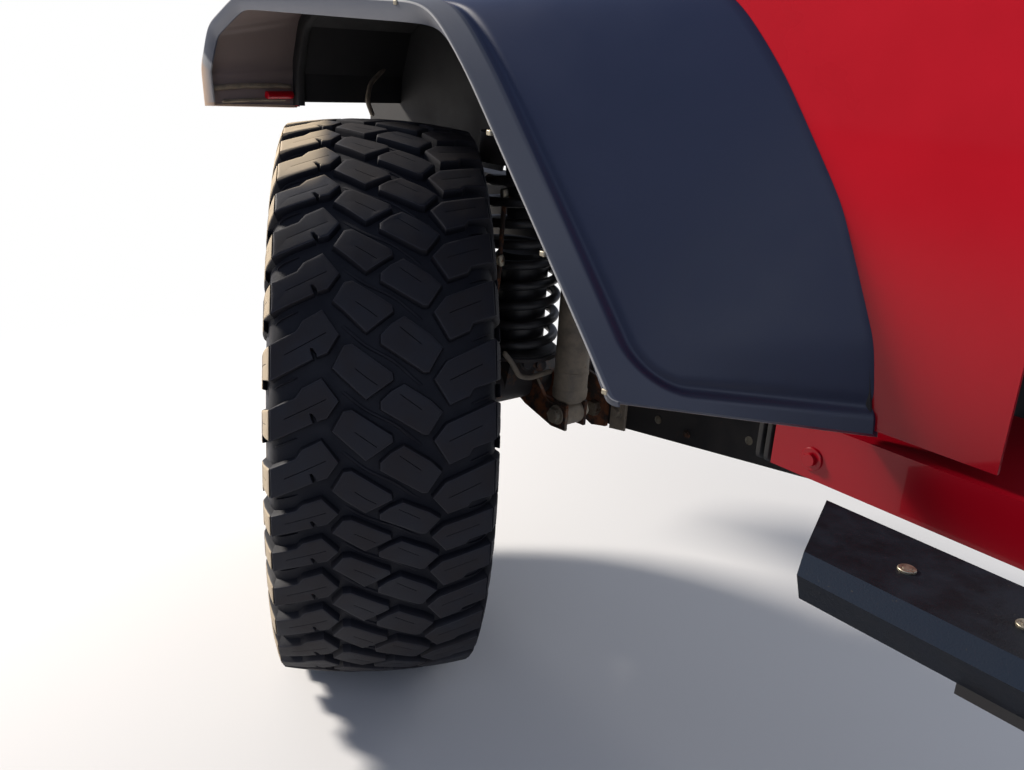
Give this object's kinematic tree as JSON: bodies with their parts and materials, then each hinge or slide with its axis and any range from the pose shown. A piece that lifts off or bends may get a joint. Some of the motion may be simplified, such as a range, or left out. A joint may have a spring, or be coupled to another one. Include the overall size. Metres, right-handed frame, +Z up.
{
  "type": "front corner of a lifted off-road 4x4",
  "caption": "Front left corner of a lifted off-road 4x4: mud tyre and wheel on a steering knuckle, coil spring, damper, arm, frame rail, flare, wing, sill and step.",
  "frame": {"origin": "middle of the inner web at the frame rail's rear end", "axes": "+X forward along the vehicle, +Y outboard to its left, +Z up; the ground is 0.62 m below the origin"},
  "size_m": [1.728, 0.8481, 1.1596],
  "materials": {
    "tyre": "moulded tread rubber, dusty",
    "wheel_paint": "satin dark grey",
    "brake_steel": "turned disc face with light rust",
    "brake_cast": "as cast, dusty",
    "bare_steel": "machined",
    "zinc_steel": "zinc plated",
    "axle_cast": "black painted casting, dusty",
    "rusty_steel": "black paint rusted through",
    "chassis_black": "satin black, dusty",
    "spring_black": "powder coated",
    "damper_paint": "grey paint under dust",
    "rubber": "moulded",
    "flare_plastic": "fine grained, satin",
    "liner_plastic": "plain",
    "body_red": "gloss",
    "step_black": "textured powder coat"
  },
  "bodies": {
    "vehicle_side": {"frame_rail": "chassis_black", "bumper_flange": "chassis_black", "spring_tower": "chassis_black", "damper_bracket": "chassis_black", "frame_bracket": "chassis_black", "body_outrigger": "chassis_black", "floor_bar": "body_red", "body_puck": "rubber", "axle_tube": "axle_cast", "axle_yoke": "axle_cast", "ball_joint_pins": "bare_steel", "spring_perch": "axle_cast", "axle_bracket": "rusty_steel", "damper_foot": "rusty_steel", "coil_spring": "spring_black", "bump_stop": "rubber", "bump_cup": "spring_black", "damper_body": "damper_paint", "damper_rod": "bare_steel", "damper_bolt": "zinc_steel", "arm_bolts": "zinc_steel", "lower_arm": "chassis_black", "flare": "flare_plastic", "arch_liner": "liner_plastic", "wing": "body_red", "inner_wing": "liner_plastic", "sill": "body_red", "side_step": "step_black", "step_bracket": "chassis_black"},
    "knuckle": {"steering_knuckle": "axle_cast", "steering_arm": "axle_cast", "hub_carrier": "bare_steel", "brake_caliper": "brake_cast"},
    "wheel": {"tyre": "tyre", "rim": "wheel_paint", "brake_disc": "brake_steel", "wheel_hub": "bare_steel", "lug_nuts": "zinc_steel", "centre_cap": "liner_plastic", "valve_stem": "rubber"}
  },
  "joints": [
    {"name": "steering", "type": "hinge", "parent": "vehicle_side", "child": "knuckle", "pos_m": [1.1, 0.312, -0.18], "axis": [0, 0, 1], "range_deg": [0, 62]},
    {"name": "wheel_spin", "type": "hinge", "parent": "knuckle", "child": "wheel", "pos_m": [1.1575, 0.41159, -0.18], "axis": [0.5, 0.866, 0], "continuous": true}
  ]
}
